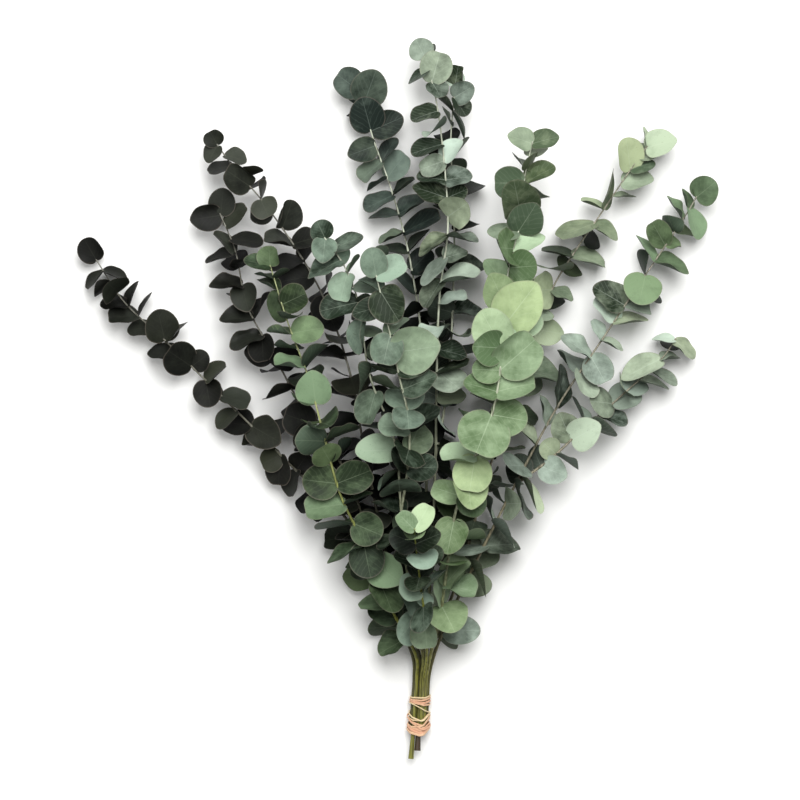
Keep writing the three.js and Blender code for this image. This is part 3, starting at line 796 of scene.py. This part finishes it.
# ------------------------------------------------------------------------------------------------
# The elastic tie
# ------------------------------------------------------------------------------------------------

# The ring that a turn is shaped from, which has a radius of 1.
RING_STEPS = 64
STRAND_STEPS = 10
STRAND_RADIUS = 0.25
THINNEST = 0.85     # of a strand, as a share of the usual thickness
THICKEST = 1.1
LOOSE = 0.1         # how far it lifts off and sinks in as it goes round, in millimetres
WAVER = 0.25        # how far it wavers along the stems, in millimetres


def strand(turn, sizes, radius, chance):
    """One turn of elastic, shaped from a ring and pulled tight round the stems as a string is."""
    y, lean, dip, over, spread, pale = turn
    deselect()
    half_thick = sizes.thickness * chance.uniform(THINNEST, THICKEST) / 2
    half_wide = sizes.width * spread / 2
    bpy.ops.mesh.primitive_torus_add(
        major_segments=RING_STEPS, minor_segments=STRAND_STEPS, major_radius=1,
        minor_radius=STRAND_RADIUS, generate_uvs=True,
    )
    ring = bpy.context.object
    phase = chance.uniform(0, 2 * math.pi)
    stems = [bundle_point(y, stalk["place"]) * MM for stalk in STALKS.values()]
    low = Vector(min(stem[axis] for stem in stems) for axis in range(3))
    high = Vector(max(stem[axis] for stem in stems) for axis in range(3))
    for v in ring.data.vertices:
        angle = math.atan2(v.co.y, v.co.x)
        outward = Vector((math.cos(angle), 0, math.sin(angle)))
        outer = max(stems, key=lambda centre: centre.dot(outward))
        proud = (math.hypot(v.co.x, v.co.y) - 1) / STRAND_RADIUS
        lift = sizes.clearance + over * sizes.thickness + LOOSE * MM * math.sin(3 * angle + phase)
        place = outer + outward * (radius + lift + half_thick * (1 + proud))
        place.y += lean * MM * (2 * (place.x - low.x) / (high.x - low.x) - 1)
        place.y -= dip * MM * (2 * (place.z - low.z) / (high.z - low.z) - 1)
        place.y += WAVER * MM * math.sin(2 * angle + phase) - v.co.z / STRAND_RADIUS * half_wide
        place.z = max(place.z, OFF_FLOOR * MM)
        v.co = place
    bpy.ops.object.mode_set(mode="EDIT")
    bpy.ops.mesh.select_all(action="SELECT")
    bpy.ops.mesh.normals_make_consistent(inside=False)
    bpy.ops.object.mode_set(mode="OBJECT")
    ring.data.attributes.new("pale", "FLOAT", "FACE")
    note_on(ring, pale=pale)
    return ring


class BUNCH_OT_tie(bpy.types.Operator):
    """Winds the elastic round the stems, turn by turn"""
    bl_idname = "bunch.tie"
    bl_label = "Elastic tie"

    def execute(self, context):
        sizes = context.scene.bunch_tie
        radius = context.scene.bunch_stems.radius
        elastic = elastic_material(sizes.slack, sizes.stretched)
        chance = random.Random(sizes.seed)
        for part, turns in TURNS.items():
            piece = join([strand(turn, sizes, radius, chance) for turn in turns], "elastic_" + part)
            piece.data.materials.append(elastic)
            smooth(piece, degrees=60)
            attach(piece, "upper_band" if part == "upper" else "lower_band")
        return {"FINISHED"}


# ------------------------------------------------------------------------------------------------
# Finishes
# ------------------------------------------------------------------------------------------------

# Upper face of the lightest leaves, upper face of the deepest, underside darkened with painted shade, veins.
LEAF_COLOURS = {
    "smoked": ("#2b2f27", "#0c0d0a", "#161713", "#42443c"),
    "dusky": ("#3b3f36", "#10120f", "#1e201c", "#525649"),
    "green": ("#738a6b", "#1f2c1b", "#38443a", "#93a385"),
    "silver_green": ("#8ba08e", "#1c281c", "#384337", "#a8b5a2"),
    "slate": ("#6a796e", "#18221e", "#303933", "#86958b"),
    "fresh": ("#a4b39a", "#465642", "#4c5748", "#b9c5ae"),
    "silver": ("#b3c4b5", "#202c20", "#39433a", "#c8d4c6"),
    "bright": ("#a7bd9c", "#526847", "#627359", "#c4d3b6"),
}
# Low on the stem, a third of the way up it and near its tip.
BARKS = {
    "grey": ("#45441a", "#52513f", "#737268"),
    "olive": ("#76752b", "#80873f", "#9aa273"),
    "cream": ("#7d7b30", "#959b7c", "#b4baa6"),
    "brown": ("#504e1a", "#79725a", "#959180"),
    "dried": ("#3a2616", "#3a2616", "#3a2616"),
}
BARK_LOW = -260     # Y of the first of those colours, in millimetres
BARK_HIGH = 120     # Y of the last
BARK_MIDDLE = 0.3   # share of the way between them where the middle one lies

VEINS = 3           # side veins along half a leaf's length
RIBS = 9            # round a strand of elastic


def leaf_material(name, light, deep, painted_underside_shade, vein):
    """Preserved leaf, dried flat: matte and leathery, with a pale bloom of wax that rubs off in patches, so
    that each leaf is mottled, and fine paler veins that leave the midrib. Painted shade darkens its
    underside, and the leaves that lie beneath others."""
    material, tree = new_material("preserved_leaf_" + name)
    place = add_node(tree, "ShaderNodeTexCoord").outputs["Object"]
    noted = {
        note: add_node(tree, "ShaderNodeAttribute", {"attribute_name": note}).outputs["Fac"]
        for note in ("tone", "warmth", "inner", "underside")
    }

    # The disc that the leaf was shaped from: x runs from -1 to 1 across it, y from its base to its tip.
    disc = add_node(tree, "ShaderNodeUVMap", {"uv_map": "disc"}).outputs["UV"]
    disc = add_node(
        tree, "ShaderNodeMapping", {"Vector": disc, "Location": (-1, -1, 0), "Scale": (2, 2, 1)},
    ).outputs["Vector"]
    split = add_node(tree, "ShaderNodeSeparateXYZ", {"Vector": disc})
    off_rib = add_node(tree, "ShaderNodeMath", {"operation": "ABSOLUTE", 0: split.outputs["X"]}).outputs[0]

    # The midrib thins out towards the tip. The side veins are faint, and wander.
    rib_width = add_node(
        tree, "ShaderNodeMath", {"operation": "MULTIPLY_ADD", 0: split.outputs["Y"], 1: -0.014, 2: 0.026},
    ).outputs[0]
    midrib = add_node(
        tree, "ShaderNodeMapRange", {"Value": off_rib, "From Min": rib_width, "From Max": 0},
    ).outputs["Result"]
    wander = add_node(
        tree, "ShaderNodeTexNoise", {"Vector": place, "Scale": 1 / (9 * MM), "Detail": 2},
    ).outputs["Fac"]
    course = add_node(
        tree, "ShaderNodeMath", {"operation": "MULTIPLY_ADD", 0: off_rib, 1: -1.1, 2: split.outputs["Y"]},
    ).outputs[0]
    course = add_node(
        tree, "ShaderNodeMath", {"operation": "MULTIPLY_ADD", 0: wander, 1: 0.4, 2: course},
    ).outputs[0]
    course = add_node(
        tree, "ShaderNodeMath", {"operation": "MULTIPLY", 0: course, 1: 2 * math.pi * VEINS},
    ).outputs[0]
    ripple = add_node(tree, "ShaderNodeMath", {"operation": "SINE", 0: course}).outputs[0]
    side_veins = add_node(
        tree, "ShaderNodeMapRange", {"Value": ripple, "From Min": 0.86, "From Max": 1, "To Max": 0.25},
    ).outputs["Result"]
    veins = add_node(tree, "ShaderNodeMath", {"operation": "MAXIMUM", 0: midrib, 1: side_veins}).outputs[0]

    # Light and deep leaves, mottled by the bloom in patches of about 14 mm.
    mottle = add_node(
        tree, "ShaderNodeTexNoise", {"Vector": place, "Scale": 1 / (14 * MM), "Detail": 4, "Roughness": 0.6},
    ).outputs["Fac"]
    shade = add_node(tree, "ShaderNodeMath", {"operation": "ADD", 0: mottle, 1: noted["tone"]}).outputs[0]
    shade = add_node(
        tree, "ShaderNodeMapRange", {"Value": shade, "From Min": 0.52, "From Max": 1.4},
    ).outputs["Result"]
    skin = add_node(
        tree, "ShaderNodeMix", {"data_type": "RGBA", "Factor": shade, 6: linear(deep), 7: linear(light)},
    ).outputs[2]

    # Over that lie the underside, darkened with painted shade, the warmth of some leaves, the veins,
    # freckles of 1 mm, a thin dry edge, and painted shade on the leaves that lie beneath others.
    speck = add_node(
        tree, "ShaderNodeTexVoronoi", {"Vector": place, "Scale": 1 / (3.2 * MM)},
    ).outputs["Distance"]
    freckles = add_node(
        tree, "ShaderNodeMapRange", {"Value": speck, "From Min": 0.2, "From Max": 0},
    ).outputs["Result"]
    out = add_node(tree, "ShaderNodeVectorMath", {"operation": "LENGTH", 0: disc}).outputs["Value"]
    edge = add_node(
        tree, "ShaderNodeMapRange", {"Value": out, "From Min": 0.93, "From Max": 1},
    ).outputs["Result"]
    for blend, mask, strength, colour_code in (
        # the underside is darkened with painted shade
        ("MIX", noted["underside"], 0.85, painted_underside_shade),
        ("MULTIPLY", noted["warmth"], 1, "#f8f4da"),
        ("MIX", veins, 0.28, vein),
        ("MIX", freckles, 0.3, deep),
        ("MIX", edge, 0.3, "#8d8377"),
        # painted shade on the leaves that lie beneath others
        ("MULTIPLY", noted["inner"], 1, "#2b3429"),
    ):
        factor = add_node(tree, "ShaderNodeMath", {"operation": "MULTIPLY", 0: mask, 1: strength}).outputs[0]
        skin = add_node(
            tree, "ShaderNodeMix",
            {"data_type": "RGBA", "blend_type": blend, "Factor": factor, 6: skin, 7: linear(colour_code)},
        ).outputs[2]

    grain = add_node(
        tree, "ShaderNodeTexNoise", {"Vector": place, "Scale": 1 / (0.9 * MM), "Detail": 3},
    ).outputs["Fac"]
    relief = add_node(
        tree, "ShaderNodeMath", {"operation": "MULTIPLY_ADD", 0: veins, 1: -0.6, 2: grain},
    ).outputs[0]
    bump = add_node(tree, "ShaderNodeBump", {"Height": relief, "Strength": 0.35, "Distance": 0.25 * MM})
    roughness = add_node(
        tree, "ShaderNodeMapRange", {"Value": mottle, "To Min": 0.42, "To Max": 0.72},
    ).outputs["Result"]
    shader = add_node(tree, "ShaderNodeBsdfPrincipled", {
        "Base Color": skin, "Roughness": roughness, "IOR": 1.42, "Specular IOR Level": 0.22,
        "Normal": bump.outputs["Normal"],
    })
    finish_material(tree, shader)
    return material


def bark_material(name, low, middle, high):
    """Smooth young bark: satin, olive near the cut end and paler upwards, with fine streaks."""
    material, tree = new_material("young_bark_" + name)
    place = add_node(tree, "ShaderNodeTexCoord").outputs["Object"]
    split = add_node(tree, "ShaderNodeSeparateXYZ", {"Vector": place})
    way = add_node(
        tree, "ShaderNodeMapRange",
        {"Value": split.outputs["Y"], "From Min": BARK_LOW * MM, "From Max": BARK_HIGH * MM},
    ).outputs["Result"]
    ramp = add_node(tree, "ShaderNodeValToRGB", {"Fac": way})
    ramp.color_ramp.elements[0].color = linear(low)
    ramp.color_ramp.elements[1].color = linear(high)
    ramp.color_ramp.elements.new(BARK_MIDDLE).color = linear(middle)
    drawn_out = add_node(
        tree, "ShaderNodeMapping", {"Vector": place, "Scale": (1, 0.05, 1)},
    ).outputs["Vector"]
    streaks = add_node(
        tree, "ShaderNodeTexNoise", {"Vector": drawn_out, "Scale": 1 / (1.2 * MM), "Detail": 3},
    ).outputs["Fac"]
    dirt = add_node(
        tree, "ShaderNodeMapRange", {"Value": streaks, "From Min": 0.4, "From Max": 0.62, "To Max": 0.7},
    ).outputs["Result"]
    skin = add_node(
        tree, "ShaderNodeMix",
        {"data_type": "RGBA", "Factor": dirt, 6: ramp.outputs["Color"], 7: linear("#2c2a10")},
    ).outputs[2]
    bump = add_node(tree, "ShaderNodeBump", {"Height": streaks, "Strength": 0.4, "Distance": 0.2 * MM})
    shader = add_node(tree, "ShaderNodeBsdfPrincipled", {
        "Base Color": skin, "Roughness": 0.42, "IOR": 1.45, "Normal": bump.outputs["Normal"],
    })
    finish_material(tree, shader)
    return material


def cut_wood_material():
    """Wood cut across: dry and dull, browned by air, with paler fibres showing."""
    material, tree = new_material("cut_wood_end_grain")
    place = add_node(tree, "ShaderNodeTexCoord").outputs["Object"]
    fibres = add_node(
        tree, "ShaderNodeTexNoise", {"Vector": place, "Scale": 1 / (0.5 * MM), "Detail": 4},
    ).outputs["Fac"]
    skin = add_node(
        tree, "ShaderNodeMix",
        {"data_type": "RGBA", "Factor": fibres, 6: linear("#4b3626"), 7: linear("#a38a64")},
    ).outputs[2]
    bump = add_node(tree, "ShaderNodeBump", {"Height": fibres, "Strength": 0.6, "Distance": 0.2 * MM})
    shader = add_node(tree, "ShaderNodeBsdfPrincipled", {
        "Base Color": skin, "Roughness": 0.85, "Normal": bump.outputs["Normal"],
    })
    finish_material(tree, shader)
    return material


def elastic_material(slack, stretched):
    """Natural rubber elastic, extruded: satin and peach, paler where it is pulled, with fine ribs along
    it that catch the light, and blotches where it has aged."""
    material, tree = new_material("natural_rubber_elastic")
    place = add_node(tree, "ShaderNodeTexCoord").outputs["Object"]
    ring = add_node(tree, "ShaderNodeUVMap", {"uv_map": "UVMap"}).outputs["UV"]
    split = add_node(tree, "ShaderNodeSeparateXYZ", {"Vector": ring})
    around = add_node(
        tree, "ShaderNodeMath", {"operation": "MULTIPLY", 0: split.outputs["Y"], 1: 2 * math.pi * RIBS},
    ).outputs[0]
    ribs = add_node(tree, "ShaderNodeMath", {"operation": "SINE", 0: around}).outputs[0]
    pale = add_node(tree, "ShaderNodeAttribute", {"attribute_name": "pale"}).outputs["Fac"]
    skin = add_node(
        tree, "ShaderNodeMix",
        {"data_type": "RGBA", "Factor": pale, 6: tuple(slack), 7: tuple(stretched)},
    ).outputs[2]
    blotch = add_node(
        tree, "ShaderNodeTexNoise", {"Vector": place, "Scale": 1 / (4 * MM), "Detail": 4},
    ).outputs["Fac"]
    aged = add_node(
        tree, "ShaderNodeMapRange", {"Value": blotch, "From Min": 0.35, "From Max": 0.75, "To Max": 0.5},
    ).outputs["Result"]
    skin = add_node(
        tree, "ShaderNodeMix", {"data_type": "RGBA", "Factor": aged, 6: skin, 7: linear("#cf9a78")},
    ).outputs[2]
    bump = add_node(tree, "ShaderNodeBump", {"Height": ribs, "Strength": 0.5, "Distance": 0.15 * MM})
    shader = add_node(tree, "ShaderNodeBsdfPrincipled", {
        "Base Color": skin, "Roughness": 0.55, "IOR": 1.5, "Normal": bump.outputs["Normal"],
    })
    finish_material(tree, shader)
    return material


def floor_material(paint):
    """Matt painted board: pale and even, with only a trace of roller texture."""
    material, tree = new_material("painted_board_matt")
    place = add_node(tree, "ShaderNodeTexCoord").outputs["Object"]
    stipple = add_node(
        tree, "ShaderNodeTexNoise", {"Vector": place, "Scale": 1 / (4 * MM), "Detail": 2},
    ).outputs["Fac"]
    bump = add_node(tree, "ShaderNodeBump", {"Height": stipple, "Strength": 0.05, "Distance": 0.1 * MM})
    shader = add_node(tree, "ShaderNodeBsdfPrincipled", {
        "Base Color": tuple(paint), "Roughness": 0.9, "Normal": bump.outputs["Normal"],
    })
    finish_material(tree, shader)
    return material


# ------------------------------------------------------------------------------------------------
# Stage
# ------------------------------------------------------------------------------------------------

class BUNCH_OT_stage(bpy.types.Operator):
    """Lays the pale floor, sets the soft light and hangs the camera above the bunch"""
    bl_idname = "bunch.stage"
    bl_label = "Stage"

    def execute(self, context):
        sizes = context.scene.bunch_stage
        deselect()
        bpy.ops.mesh.primitive_plane_add(size=sizes.floor_size)
        floor = context.object
        floor.name = "floor"
        floor.data.materials.append(floor_material(sizes.floor))

        world = bpy.data.worlds.new("soft_room")
        world.use_nodes = True
        sky = world.node_tree.nodes["Background"]
        sky.inputs["Color"].default_value = sizes.room
        sky.inputs["Strength"].default_value = sizes.room_strength
        context.scene.world = world

        # Each softbox has its place and its side, in metres, and its power.
        for name, place, side, power in (
            ("key_softbox", (0.35, 1.35, 2.6), 2.2, sizes.key),
            ("fill_softbox", (-1.7, 0.2, 2.0), 1.4, sizes.fill),
        ):
            bpy.ops.object.light_add(type="AREA", location=place)
            lamp = context.object
            lamp.name = name
            lamp.data.size = side
            lamp.data.energy = power
            lamp.rotation_euler = Vector(place).to_track_quat("Z", "Y").to_euler()

        bpy.ops.object.camera_add(location=(0, 0, sizes.level + sizes.distance), rotation=(0, 0, 0))
        camera = context.object
        camera.name = "camera_above"
        camera.data.lens = camera.data.sensor_width * sizes.distance / sizes.view
        context.scene.camera = camera
        context.scene.view_settings.view_transform = "Standard"
        return {"FINISHED"}


# ------------------------------------------------------------------------------------------------
# Panel and registration
# ------------------------------------------------------------------------------------------------

OPERATORS = (BUNCH_OT_stage, BUNCH_OT_stems, BUNCH_OT_leaves, BUNCH_OT_tie)
SETTINGS = {
    "bunch_leaves": LeafSettings,
    "bunch_stems": StemSettings,
    "bunch_tie": TieSettings,
    "bunch_stage": StageSettings,
}


class BUNCH_PT_panel(bpy.types.Panel):
    """Lists the steps that build the bunch, and their settings"""
    bl_idname = "BUNCH_PT_panel"
    bl_label = "Eucalyptus bunch"
    bl_space_type = "VIEW_3D"
    bl_region_type = "UI"
    bl_category = "Eucalyptus"

    def draw(self, context):
        for operator in OPERATORS:
            self.layout.operator(operator.bl_idname)
        for name, group in SETTINGS.items():
            box = self.layout.box()
            box.label(text=group.__doc__)
            for setting in group.__annotations__:
                box.prop(getattr(context.scene, name), setting)


def register():
    for group in SETTINGS.values():
        bpy.utils.register_class(group)
    for name, group in SETTINGS.items():
        setattr(bpy.types.Scene, name, PointerProperty(type=group))
    for operator in OPERATORS:
        bpy.utils.register_class(operator)
    bpy.utils.register_class(BUNCH_PT_panel)


def unregister():
    bpy.utils.unregister_class(BUNCH_PT_panel)
    for operator in reversed(OPERATORS):
        bpy.utils.unregister_class(operator)
    for name, group in SETTINGS.items():
        delattr(bpy.types.Scene, name)
        bpy.utils.unregister_class(group)


def main():
    register()
    bpy.ops.bunch.stage()
    bpy.ops.bunch.stems()
    bpy.ops.bunch.leaves()
    bpy.ops.bunch.tie()


if __name__ == "__main__":
    main()
